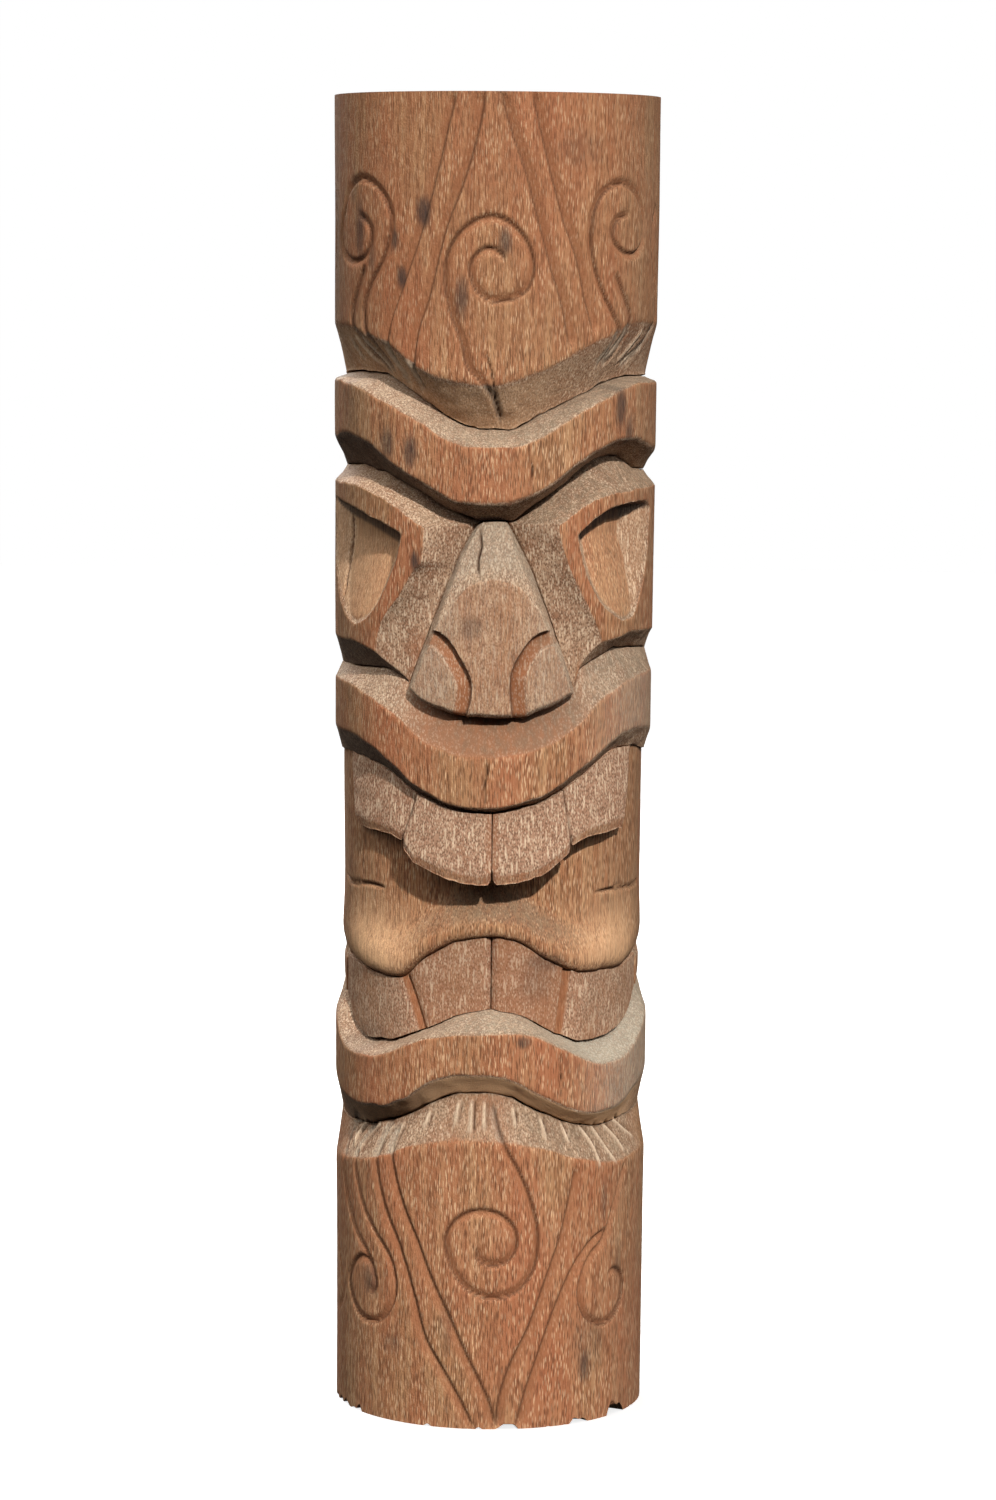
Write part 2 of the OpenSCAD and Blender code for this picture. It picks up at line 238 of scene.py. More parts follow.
# Each groove: where its sloped side lies (+1 left of its course, -1 right), width and course.
GROOVES = [
    # crown: scroll in the middle, from its tail
    (-1, SCROLL, [(2, 756), (-1, 775), (-5, 788), (-10, 801), (-12, 818), (-16, 840), (-18, 862),
     (-17, 882), (-12, 899), (-4, 909), (3, 907), (10, 893), (13, 874), (11, 857), (5, 849), (-2, 848),
     (-7, 856), (-9, 868), (-8, 879), (-4, 886), (0, 885), (4, 876)]),
    # crown: left and right scrolls
    (-1, SCROLL, [(-45, 790), (-50, 810), (-53, 823), (-54, 840), (-50, 859), (-44, 876), (-41, 891),
     (-40, 908), (-43, 923), (-49, 933), (-56, 936), (-63, 928), (-67, 914), (-70, 897), (-68, 884),
     (-62, 877), (-55, 878), (-51, 886), (-50, 898), (-53, 906), (-58, 910)]),
    (1, SCROLL, [(42, 797), (47, 811), (49, 825), (46, 837), (41, 852), (37, 870), (35, 890), (36, 912),
     (40, 927), (48, 934), (55, 930), (60, 920), (63, 906), (62, 892), (58, 884), (53, 883), (48, 887),
     (45, 895), (46, 905), (50, 910), (55, 911)]),
    # crown: second line under each side scroll
    (-1, LINE, [(-48, 790), (-57, 811), (-62, 826), (-62, 840), (-58, 856), (-53, 876)]),
    (1, LINE, [(46, 797), (51, 810), (55, 824), (55, 838), (51, 853), (46, 871)]),
    # crown: pairs of lines that meet at the top
    (1, LINE, [(-29, 776), (-30, 797), (-28, 826), (-24, 850), (-18, 899), (-11, 938), (-6, 976),
     (-4, 1001)]),
    (1, LINE, [(-36, 782), (-41, 812), (-40, 830), (-34, 860), (-27, 898), (-21, 942), (-17, 976),
     (-14, 1001)]),
    (-1, LINE, [(27, 812), (24, 842), (19, 875), (14, 912), (10, 942), (5, 972), (1, 1001)]),
    (-1, LINE, [(37, 822), (33, 848), (29, 880), (24, 906), (19, 942), (15, 974), (12, 1001)]),
    # crown: outer lines at the sides
    (1, LINE, [(-86, 812), (-84, 850), (-80, 892), (-83, 930)]),
    (-1, LINE, [(60, 800), (72, 816), (78, 836), (77, 858), (73, 880), (72, 902), (77, 922)]),
    # beard: scroll in the middle, from its tail
    (-1, SCROLL, [(1, 250), (3, 232), (6, 215), (11, 196), (15, 176), (18, 150), (17, 126), (12, 109),
     (4, 101), (-4, 103), (-11, 114), (-15, 130), (-16, 147), (-12, 161), (-5, 168), (3, 166), (9, 155),
     (10, 141), (7, 130), (1, 126), (-4, 131), (-4, 143)]),
    # beard: lines that meet at the foot
    (-1, LINE, [(-37, 230), (-39, 212), (-36, 183), (-32, 162), (-27, 141), (-22, 116), (-15, 87), (-8, 56),
     (0, 22), (3, -1)]),
    (-1, LINE, [(-42, 230), (-46, 211), (-46, 194), (-42, 165), (-35, 137), (-29, 103), (-24, 69),
     (-18, 48), (-11, 24), (-5, -1)]),
    (1, LINE, [(33, 200), (31, 178), (27, 146), (21, 112), (15, 79), (8, 49), (4, 22), (3, -1)]),
    (1, LINE, [(50, 148), (41, 140), (33, 123), (28, 105), (23, 81), (18, 53), (14, 29), (10, -1)]),
    # beard: left scroll and the line beside it
    (-1, SCROLL, [(-51, 226), (-58, 211), (-60, 200), (-58, 180), (-53, 158), (-46, 141), (-40, 128),
     (-37, 113), (-37, 96), (-41, 81), (-48, 73), (-56, 75), (-62, 86), (-65, 101), (-61, 115),
     (-55, 122), (-50, 119), (-47, 110), (-47, 99), (-52, 94)]),
    (-1, SCROLL, [(-64, 229), (-72, 215), (-70, 190), (-66, 165), (-60, 143), (-53, 129), (-47, 116)]),
    (-1, SCROLL, [(-82, 150), (-77, 120), (-72, 98), (-71, 84), (-77, 70)]),
    # beard: right scroll
    (1, SCROLL, [(60, 196), (54, 170), (47, 140), (40, 128), (36, 112), (35, 97), (38, 82), (44, 74),
     (51, 74), (57, 82), (60, 94), (59, 107), (54, 114), (49, 111)]),
]

# Ridges left between gouge strokes on the bevels above the brow and below the chin, coloured partly as pale
# wood and partly as a painted highlight where they would catch the light.
STROKES = [
    [(-64, 823), (-60, 809), (-54, 797)], [(-58, 822), (-53, 808), (-47, 793)],
    [(-44, 813), (-41, 800), (-37, 788)], [(-33, 806), (-31, 793), (-28, 779)],
    [(-70, 824), (-69, 811), (-66, 799)],
    [(47, 822), (46, 809), (42, 798)], [(56, 828), (52, 812), (47, 800)],
    [(76, 826), (70, 811), (62, 799)], [(68, 828), (62, 812), (56, 800)],
    [(-66, 226), (-72, 214), (-71, 203)], [(-59, 227), (-65, 212), (-64, 202)],
    [(-50, 227), (-57, 211), (-59, 200)], [(-41, 228), (-46, 212), (-47, 201)],
    [(-36, 232), (-39, 212), (-39, 203)],
    [(38, 229), (43, 213), (45, 193)], [(45, 228), (49, 213), (55, 194)],
    [(52, 227), (59, 212), (62, 200)], [(59, 229), (67, 216), (73, 208)],
    [(-12, 252), (-13, 230)], [(-7, 253), (-7, 224)], [(-2, 252), (-2, 227)], [(9, 248), (10, 229)],
    [(20, 240), (22, 220)], [(29, 234), (32, 214)], [(-24, 243), (-26, 225)],
]

# Drying cracks: width in mm and course.
CRACKS = [
    (1.3, [(-4, 812), (-2, 800), (-1, 790), (0, 776), (2, 762), (2, 753)]),
    (1.5, [(-2, 511), (-2, 498), (-3, 484), (-2, 470)]),
    (2.0, [(-89, 408), (-74, 404), (-62, 406), (-50, 404)]),
    (1.8, [(88, 405), (74, 403), (62, 404), (48, 402)]),
    (1.4, [(27, 290), (26, 276), (27, 262), (26, 248)]),
    (1.6, [(-74, 690), (-73, 668), (-73, 640), (-72, 618)]),
    (1.4, [(-6, 684), (-5, 668), (-6, 656), (-5, 640)]),
    (1.4, [(12, 735), (13, 722), (12, 708)]),
    (1.6, [(155, 1001), (156, 930), (154, 850), (157, 780), (155, 700)]),
    (2.2, [(-160, -1), (-158, 90), (-161, 190), (-159, 280)]),
    (1.8, [(178, 700), (179, 600), (177, 500), (178, 410)]),
]

# Dark knots and stains, one of them partly painted shade: angle, height, half width and half height in mm,
# and strength.
STAINS = [
    (-26, 912, 6, 12, 1.0), (3, 891, 5, 11, 0.9), (-12, 850, 5, 16, 0.8), (-35, 864, 4, 9, 1.0),
    (-38, 892, 4, 9, 0.8), (-56, 900, 6, 22, 0.8), (-60, 930, 5, 12, 0.5), (-49, 878, 4, 12, 0.6),
    (-41, 742, 7, 12, 0.8), (-31, 736, 6, 13, 0.9), (-29, 655, 4, 8, 1.0), (-8, 607, 9, 9, 0.45),
    (50, 770, 6, 16, 0.9), (55, 752, 5, 12, 0.7), (12, 296, 5, 5, 0.8), (38, 44, 6, 14, 0.8),
    # The broad patch at -62, 288 on the lower lip's left ledge is partly dirt and partly painted shade.
    (20, 338, 16, 16, 0.3), (-62, 288, 26, 12, 0.35), (-84, 890, 24, 110, 0.35), (-64, 770, 12, 20, 0.25),
    (40, 62, 16, 24, 0.35), (24, 352, 18, 8, 0.5), (-50, 105, 10, 12, 0.6), (-38, 60, 10, 8, 0.4),
    (47, 170, 4, 16, 0.5), (56, 118, 4, 12, 0.4), (-16, 78, 5, 22, 0.3), (30, 960, 20, 14, 0.25),
    (140, 860, 8, 16, 0.9), (-150, 640, 9, 18, 0.8), (165, 420, 7, 14, 0.8), (-170, 150, 9, 20, 0.8),
]


def flat(a, z):
    """Unrolls angles and heights onto a plane, in mm."""
    return np.stack([np.asarray(a, float) * MM_PER_DEGREE, np.asarray(z, float)], -1)


def course(points, step=2.5):
    """A smooth path through a few points of the unrolled surface, with a point every few mm."""
    knots = flat(*np.array(points, float).T)
    gaps = np.linalg.norm(np.diff(knots, axis=0), axis=1)
    at = np.concatenate([[0], np.cumsum(gaps)])
    inner = (knots[2:] - knots[:-2]) / (at[2:] - at[:-2])[:, None]
    ends = (knots[1] - knots[0]) / gaps[0], (knots[-1] - knots[-2]) / gaps[-1]
    tangent = np.concatenate([[ends[0]], inner, [ends[1]]])
    x = np.linspace(0, at[-1], max(2, round(at[-1] / step)))
    k = np.clip(np.searchsorted(at, x) - 1, 0, len(gaps) - 1)
    t = ((x - at[k]) / gaps[k])[:, None]
    width = gaps[k][:, None]
    return hermite(t, width, knots[k], knots[k + 1], tangent[k], tangent[k + 1])


def offset_from(path, spots, reach, ends=1):
    """For spots near a path: their indices, distance to its left, and fade from its nearer end."""
    low, high = path.min(0) - reach, path.max(0) + reach
    near = np.flatnonzero(((spots > low) & (spots < high)).all(-1))
    here = spots[near]
    best = np.full(len(near), np.inf)
    side = np.ones(len(near))
    run = np.zeros(len(near))
    walked = 0.0
    for p, q in zip(path[:-1], path[1:]):
        step = q - p
        length = np.hypot(*step)
        t = np.clip((here - p) @ step / length ** 2, 0, 1)
        gap = here - (p + t[:, None] * step)
        d = np.hypot(gap[:, 0], gap[:, 1])
        closer = d < best
        best = np.where(closer, d, best)
        side = np.where(closer, np.sign(step[0] * gap[:, 1] - step[1] * gap[:, 0] + 1e-9), side)
        run = np.where(closer, walked + t * length, run)
        walked += length
    return near, best * side, rising(np.minimum(run, walked - run), 0, ends)


def keep_most(values, near, found):
    """Raises the values at the indices near to what was found there."""
    values[near] = np.maximum(values[near], found)


def carve_lines(a, z):
    """Depth of the grooves, strokes and cracks, and the marks that they leave."""
    spots = flat(a, z).reshape(-1, 2)
    depth, groove, line, ridge, crack = np.zeros((5, len(spots)))
    for soft_side, width, points in GROOVES:
        near, d, fade = offset_from(course(points), spots, width + 4, 9)
        d = d * soft_side
        slope = np.where(d > 0, 1 - d / width, 1 + d / STOP_W)
        within = rising(d, -STOP_W, 0) * sinking(d, width * 0.6, width * 1.1)
        keep_most(depth, near, GROOVE_D * fade * np.clip(slope, 0, 1) ** 1.15)
        keep_most(groove, near, within * fade)
        # A dark line of painted shade along the groove's steep stop cut.
        keep_most(line, near, 0.75 * fade * bell(d, -0.4, 1.0))
    for points in STROKES:
        near, d, fade = offset_from(course(points), spots, 8, 7)
        keep_most(depth, near, GOUGE_D * fade * falling(np.abs(d - 2.2), 1.8))
        # Pale ridge colour, partly pale wood and partly a painted highlight.
        keep_most(ridge, near, 1.2 * fade * bell(d, -0.5, 1.4))
        # A dark line of painted shade at the bottom of the gouge beside the ridge.
        keep_most(line, near, 0.6 * fade * bell(d, 2.2, 0.9))
    for width, points in CRACKS:
        near, d, fade = offset_from(course(points), spots, 8, 12)
        d = d + noise(np.insert(spots[near], 2, width * 40, axis=1), 9) * 0.4
        keep_most(depth, near, CRACK_D * fade * falling(np.abs(d), width))
        # The crack's middle is painted dark as the shade inside it.
        keep_most(crack, near, fade * bell(d, 0, 0.45 * width))
    found = depth - RIDGE_H * ridge, groove, np.maximum(line, crack), ridge
    return [x.reshape(a.shape) for x in found]


def stains(a, z):
    """How dark the knots and stains are at each spot."""
    spots = flat(a, z)
    total = np.zeros(a.shape)
    for at_a, at_z, wide, high, strength in STAINS:
        offset = (spots - flat(at_a, at_z)) / (wide, high)
        total = np.maximum(total, strength * np.exp(-(offset ** 2).sum(-1) ** 2))
    return total


# --- From a grid of angles, heights and cuts to a finished piece ---

# What the materials read: cross is wood cut across the grain, pale is bleached, worn light brown wear that
# on the crown's left bevel is painted light. The dark marks also carry painted shade in undercuts, under
# the eye lids and in narrow cuts.
MARKS = ("cross", "groove", "line", "pale", "worn", "ridge", "stain_and_shade", "grey", "end")


def finish_grid(a, z, cut, cross_least=0, cross_share=1, pale=0, red=0, worn=0, dirt=0):
    """Adds tool marks, grooves and wear to a grid. Returns its points and its marks. cross_share
    is how much tilted faces look cut across the grain, and the last argument how strongly painted shade
    darkens the down-facing faces on the left."""
    points = place(a, z, cut)
    n = outward(points)
    sine, cosine = np.sin(np.radians(a)), np.cos(np.radians(a))
    tilt = 1 - (n[..., 0] * sine - n[..., 1] * cosine)
    cross = np.maximum(cross_share * rising(tilt, 0.01, 0.08), cross_least)
    depth, groove, line, ridge = carve_lines(a, z)
    wave = 0.45 * (1 + noise(points, (50, 50, 70)))
    grain = 0.10 * (1 + noise(points, (3.5, 3.5, 40))) * (1 - cross)
    facets = 0.40 * (1 + noise(points, (11, 11, 8), 5)) * cross
    nibble = 0.14 * (1 + noise(points, 3.2, 9)) * (0.35 + 0.65 * cross)
    points = points - n * (depth + wave + grain + facets + nibble)[..., None]
    reach = np.maximum(np.hypot(points[..., 0], points[..., 1]), 1e-6)
    most = log_r(points[..., 2])
    points[..., :2] *= np.minimum(1, most / reach)[..., None]
    # Painted shade: down-facing faces on the left side, away from the key light, are darkened.
    undercut = rising(-n[..., 2], 0.15, 0.4) * rising(-a, 5, 45)
    side = rising(np.abs(sine), 0.6, 1) * (1 - cross)
    ledge = rising(n[..., 2], 0.15, 0.45) * (0.25 + 0.55 * rising(a, -45, 0))
    marks = {
        "cross": cross,
        "groove": np.maximum(groove * (1 - cross), red),
        "line": line,
        "pale": np.maximum(0.5 * groove * cross, pale),
        "worn": worn + 0 * a,
        "ridge": ridge,
        "stain_and_shade": np.maximum(stains(a, z), dirt * undercut),
        "grey": np.maximum(0.5 * side, ledge),
        "end": 0 * a,
    }
    return points, marks


def quads(p, q):
    """Faces of the strip between two rows of point numbers."""
    return np.stack([p[:-1], q[:-1], q[1:], p[1:]], 1).tolist()


def add_mesh(node, slot, points, faces, marks):
    """Makes a piece of the figure that stands for a CAD node."""
    name = "carved_" + node
    mesh = bpy.data.meshes.new(name)
    mesh.from_pydata((points * MM).tolist(), [], faces)
    for mark in MARKS:
        values = np.zeros(len(points), np.float32)
        values[:marks[mark].size] = marks[mark].ravel()
        mesh.attributes.new(mark, "FLOAT", "POINT").data.foreach_set("value", values)
    mesh.shade_smooth()
    mesh.set_sharp_from_angle(angle=math.radians(62))
    mesh.materials.append(WOOD[slot])
    piece = bpy.data.objects.new(name, mesh)
    scene.collection.objects.link(piece)
    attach(piece, "root")
    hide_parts(node)


def carved_piece(node, slot, a, z, points, marks):
    """A closed solid from a finished grid of columns and rows, down to the heart of the log."""
    cols, rows = a.shape
    n = cols * rows
    heart_cut = log_r(z) - HEART_R
    low = place(a[:, 0], z[:, 0], heart_cut[:, 0])
    high = place(a[:, -1], z[:, -1], heart_cut[:, -1])
    grid = np.arange(n).reshape(cols, rows)
    low_i = n + np.arange(cols)
    high_i = low_i + cols
    faces = []
    for p, q in zip(grid[:-1], grid[1:]):
        faces += quads(p, q)
    faces += quads(grid[:, 0], low_i)
    faces += np.stack([grid[:-1, -1], grid[1:, -1], high_i[1:], high_i[:-1]], 1).tolist()
    faces += quads(low_i, high_i)
    faces.append([*grid[0].tolist(), int(high_i[0]), int(low_i[0])])
    faces.append([int(low_i[-1]), int(high_i[-1]), *grid[-1, ::-1].tolist()])
    add_mesh(node, slot, np.concatenate([points.reshape(-1, 3), low, high]), faces, marks)


def stations(profile, counts):
    """Rows between the stations of a profile, each a (height, cut) pair of arrays by column."""
    heights, cuts = [], []
    for (z0, c0), (z1, c1), count in zip(profile[:-1], profile[1:], counts):
        for t in np.arange(count) / count:
            heights.append(mix(z0, z1, t))
            cuts.append(mix(c0, c1, t))
    heights.append(profile[-1][0])
    cuts.append(profile[-1][1])
    return np.stack(heights, 1), np.stack(cuts, 1)


COLUMN_STEP = 0.75  # degrees between the columns of a piece


def columns(low, high):
    return np.linspace(low, high, round((high - low) / COLUMN_STEP) + 1)


def sheet(a, low, high, rows):
    """Angles and heights of a grid of columns at the angles a, each from low to high."""
    return np.repeat(a[:, None], rows, 1), mix(low[:, None], high[:, None], np.linspace(0, 1, rows))


# --- Materials ---


class Graph:
    """Short way to add and link a material's nodes."""

    def __init__(self, name):
        self.material = bpy.data.materials.new(name)
        self.material.use_nodes = True
        self.tree = self.material.node_tree
        self.shader = self.tree.nodes["Principled BSDF"]

    def add(self, kind, inputs, output=0, **settings):
        made = self.tree.nodes.new("ShaderNode" + kind)
        for key, value in settings.items():
            setattr(made, key, value)
        for key, value in inputs.items():
            self.set(made.inputs[key], value)
        return made.outputs[output]

    def set(self, socket, value):
        if isinstance(value, bpy.types.NodeSocket):
            self.tree.links.new(value, socket)
        else:
            socket.default_value = (*value, 1) if isinstance(value, tuple) else value

    def scaled(self, size):
        """Object coordinates in which a lump of the given size in metres is one unit."""
        coordinates = self.add("TexCoord", {}, "Object")
        return self.add("Mapping", {"Vector": coordinates, "Scale": [1 / s for s in size]})

    def noise(self, size, detail=3.0, roughness=0.55):
        return self.add("TexNoise", {"Vector": self.scaled(size), "Scale": 1.0, "Detail": detail,
                                     "Roughness": roughness}, "Fac")

    def cells(self, size, none, full):
        """1 near the middle of each cell of a size in metres, and 0 between them."""
        away = self.add("TexVoronoi", {"Vector": self.scaled(size), "Scale": 1.0}, "Distance")
        return self.span(away, none, full)

    def span(self, value, low, high, to_low=0.0, to_high=1.0):
        return self.add("MapRange", {"Value": value, "From Min": low, "From Max": high,
                                     "To Min": to_low, "To Max": to_high})

    def times(self, p, q):
        return self.add("Math", {0: p, 1: q}, operation="MULTIPLY")

    def plus(self, p, q):
        return self.add("Math", {0: p, 1: q}, operation="ADD", use_clamp=True)

    def blend(self, amount, p, q):
        return self.add("Mix", {0: amount, 6: p, 7: q}, 2, data_type="RGBA")

    def mark(self, name):
        return self.add("Attribute", {}, "Fac", attribute_name=name)


# Linear colours of the wood.
GRAIN_DARK = 0.12, 0.046, 0.022
GRAIN_MID = 0.385, 0.18, 0.088
GRAIN_RED = 0.35, 0.12, 0.058
GRAIN_TAN = 0.43, 0.24, 0.125
GRAIN_OLIVE = 0.3, 0.19, 0.095
PORE_PALE = 0.66, 0.45, 0.28
PORE_DARK = 0.07, 0.028, 0.014
CUT_PALE = 0.4, 0.265, 0.175
CUT_WARM = 0.28, 0.155, 0.095
CUT_ROSE = 0.33, 0.18, 0.12
CUT_DOT = 0.12, 0.06, 0.036
CUT_SPECK = 0.58, 0.44, 0.32
BLEACHED = 0.35, 0.335, 0.28
# Light brown of wear, and the colour of the painted light on the crown's left bevel.
WORN_AND_LIT = 0.68, 0.42, 0.24
# Pale ridge wood, with a painted highlight where the ridges would catch the light.
RIDGE_PALE_AND_HIGHLIGHT = 0.62, 0.49, 0.365
WEATHERED = 0.12, 0.092, 0.062
GROOVE_RED = 0.27, 0.108, 0.05
# Painted shade for the dark lines in grooves, gouges, nostril cuts, cracks and checks.
CREVICE_SHADE = 0.045, 0.018, 0.009
# Dark of knots and stains, and also painted shade in the left undercuts and painted shadow under the eye
# lids.
STAIN_AND_SHADE_DARK = 0.03, 0.026, 0.026


def carved_wood(name, paleness=0.0, redness=0.6, rosiness=0.0):
    """Unsealed hardwood. Long-grain faces show pores as pale dashes along the log, and the same
    pores come out as dark dots where a cut crosses the grain."""
    g = Graph(name)
    fibre = g.noise((0.001, 0.001, 0.024), 5.0, 0.75)
    streak = g.noise((0.004, 0.004, 0.1))
    broad = g.noise((0.045, 0.045, 0.16), 2.0)
    patch = g.noise((0.014, 0.014, 0.026))
    pore = g.times(g.cells((0.0013, 0.0013, 0.0085), 0.42, 0.2), g.span(patch, 0.36, 0.6, 0.3, 1.0))
    dark_pore = g.cells((0.0012, 0.0012, 0.01), 0.44, 0.24)
    dot = g.cells((0.0013, 0.0013, 0.0022), 0.56, 0.3)
    fleck = g.cells((0.0014, 0.0014, 0.0032), 0.46, 0.22)
    scratch = g.cells((0.0026, 0.0026, 0.018), 0.34, 0.18)
    coordinates = g.add("TexCoord", {}, "Object")
    rings = g.add("TexWave", {"Vector": coordinates, "Scale": 70, "Distortion": 4.0, "Detail Scale": 0.4},
                  "Fac", wave_type="RINGS", rings_direction="Z")

    long_grain = g.blend(g.span(fibre, 0.36, 0.6), GRAIN_DARK, GRAIN_MID)
    for amount, colour in ((g.span(streak, 0.46, 0.66, 0.0, 0.8), GRAIN_TAN),
                           (g.span(broad, 0.38, 0.66, 0.0, redness), GRAIN_RED),
                           (g.span(broad, 0.25, 0.48, 0.25, 0.0), GRAIN_OLIVE),
                           (g.times(dark_pore, 0.65), PORE_DARK), (g.times(pore, 0.7), PORE_PALE)):
        long_grain = g.blend(amount, long_grain, colour)

    across = g.blend(g.span(patch, 0.35, 0.65), CUT_WARM, CUT_PALE)
    across = g.blend(rosiness, across, CUT_ROSE)
    across = g.blend(g.times(dot, 0.75), across, CUT_DOT)
    specks = g.plus(g.times(fleck, 0.7), g.times(scratch, 0.8))
    across = g.blend(specks, across, CUT_SPECK)
    across = g.blend(g.times(g.mark("end"), g.span(rings, 0.3, 0.9, 0.0, 0.6)), across, GRAIN_DARK)

    cross = g.mark("cross")
    cut = g.times(g.plus(cross, paleness), g.span(patch, 0.3, 0.6, 0.75, 1.1))
    wood = g.blend(g.span(cut, 0.15, 0.85), long_grain, across)
    shown = g.span(g.plus(specks, fibre), 0.4, 1.0)
    for mark, broken_by, low, high, at_low, at_high, colour in (
            ("groove", shown, 0.0, 1.0, 0.8, 0.45, GROOVE_RED),
            ("grey", streak, 0.35, 0.7, 0.35, 0.9, WEATHERED),
            ("worn", fibre, 0.35, 0.6, 0.3, 1.0, WORN_AND_LIT),
            ("pale", shown, 0.0, 0.7, 0.5, 1.0, BLEACHED),
            ("ridge", fibre, 0.35, 0.6, 0.3, 0.95, RIDGE_PALE_AND_HIGHLIGHT),
            ("stain_and_shade", fibre, 0.3, 0.62, 1.0, 0.7, STAIN_AND_SHADE_DARK)):
        amount = g.times(g.mark(mark), g.span(broken_by, low, high, at_low, at_high))
        wood = g.blend(amount, wood, colour)
    # Dark lines: painted shade in narrow cuts and cracks.
    wood = g.blend(g.mark("line"), wood, CREVICE_SHADE)

    relief = g.plus(g.times(fibre, 0.6), g.times(g.plus(dark_pore, dot), -0.3))
    bump = g.add("Bump", {"Height": relief, "Strength": 0.5, "Distance": 0.0008})
    g.set(g.shader.inputs["Base Color"], wood)
    g.set(g.shader.inputs["Roughness"], g.span(fibre, 0.3, 0.7, 0.62, 0.86))
    g.set(g.shader.inputs["Normal"], bump)
    g.shader.inputs["Specular IOR Level"].default_value = 0.2
    return g.material


WOOD = {
    "log": carved_wood("log_wood"),
    "brow_and_lips": carved_wood("brow_and_lip_wood"),
    "eyes_and_cheeks": carved_wood("eye_and_cheek_wood", paleness=0.05, redness=0.6),
    "nose": carved_wood("nose_wood", paleness=0.25, redness=0.2),
    "teeth": carved_wood("tooth_wood", paleness=0.1, redness=0.3, rosiness=0.5),
    "tongue": carved_wood("tongue_wood", paleness=0.12, redness=0.0),
}

# --- The pieces ---


def finished(node, slot, a, z, cut, **look):
    carved_piece(node, slot, a, z, *finish_grid(a, z, cut, **look))


BAND_ROWS = (14, 28, 18)  # rows of the undercut, front and ledge of a band


def band(node, low, low_arris, high_arris, high, low_cut, high_cut, bleach, under=0, red=0, end=0):
    """A band round the face, with an undercut below its front and a sloped ledge above it. bleach
    is how pale the ledge is by angle and red how red its middle is, under how worn the undercut
    is, and end how pale the front's right end is."""
    a = columns(-WRAP_A, WRAP_A)
    depth = run_out(a)
    flush = np.zeros_like(a)
    z, cut = stations([(height(low, a), low_cut * depth), (height(low_arris, a), flush),
                       (height(high_arris, a), flush), (height(high, a), high_cut * depth)],
                      BAND_ROWS)
    under_rows, front_rows, _ = BAND_ROWS
    rows = np.arange(z.shape[1])
    ledge = np.clip((rows - under_rows - front_rows + 1) / 3, 0, 1)
    below = np.clip((under_rows - rows) / 3, 0, 1)
    front = 1 - ledge - below
    grid_a = np.repeat(a[:, None], z.shape[1], 1)
    # Painted shade darkens the band's down-facing faces on the left.
    finished(node, "brow_and_lips", grid_a, soften(z, 5, 1), soften(cut, 5, 1), dirt=0.85,
             pale=curve(bleach, a)[:, None] * ledge
             + end * (rising(a, 25, 60) - rising(a, 85, 120))[:, None] * front,
             worn=under * (sinking(np.abs(a), 50, 85)[:, None] * below),
             red=red * (sinking(np.abs(a), 20, 45)[:, None] * ledge))


band("brow", "eye_top", "brow_low", "brow_arris", "brow_top", VALLEY, VALLEY,
     {-125: 0, -80: 0.25, 0: 0.15, 80: 0.2, 125: 0})
band("upper_lip", "teeth_top", "lip_low", "lip_arris", "lip_top", UNDERLIP, LIP_BACK,
     {-125: 0, -50: 0.15, 0: 0, 50: 0.15, 125: 0}, red=1.6, end=0.35)
band("lower_lip", "beard_top", "chin_low", "chin_arris", "gum", BEARD_BACK, 24,
     {-125: 0, -60: 0.1, -25: 0.2, 15: 0.3, 45: 0.8, 70: 0.7, 125: 0}, under=1.8, end=0.5)

# Half width of the nose at its head and foot, and how it grows between them, on each side.
NOSE_SIDES = {-1: (6, 35, 0.75), 1: (6, 33, 0.85)}

# Angle of each eye block's edge beside the nose, by height.
EYE_INNER = {-1: {560: 48, 591: 47, 605: 45, 630: 35, 646: 30, 656: 26, 690: 25},
             1: {560: 44, 595: 42, 618: 36, 633: 32, 652: 27, 683: 23, 700: 23}}

# Rim of each eye hollow: its lid, inner side and outer side.
SOCKETS = {
    -1: ([(-88, 697), (-67, 693), (-50, 685), (-35, 674)],
         [(-35, 674), (-37, 659), (-41, 640), (-47, 621), (-53, 610), (-60, 605)],
         [(-60, 605), (-67, 611), (-76, 627), (-84, 655), (-88, 697)]),
    1: ([(75, 692), (69, 696), (49, 694), (38, 685), (31, 674)],
        [(31, 674), (34, 652), (38, 634), (44, 620), (53, 610)],
        [(53, 610), (60, 613), (66, 630), (71, 652), (75, 692)]),
}
SOCKET_D = 14  # greatest depth of an eye hollow


def fold(side, s):
    """Angle of the fold between the nose and an eye, at a share of the way up."""
    head, foot, power = NOSE_SIDES[side]
    return head + (foot - head) * (1 - s) ** power


def inside(path, spots):
    """Which spots lie inside a closed path."""
    x, y = spots[..., 0], spots[..., 1]
    count = np.zeros(x.shape, int)
    for p, q in zip(path, np.roll(path, -1, axis=0)):
        crosses = (p[1] > y) != (q[1] > y)
        at = p[0] + (y - p[1]) / (q[1] - p[1] + 1e-12) * (q[0] - p[0])
        count += crosses & (x < at)
    return count % 2 == 1


def distance(path, spots):
    """How far spots lie from a path."""
    away = offset_from(path, spots.reshape(-1, 2), np.inf)[1]
    return np.abs(away).reshape(spots.shape[:-1])


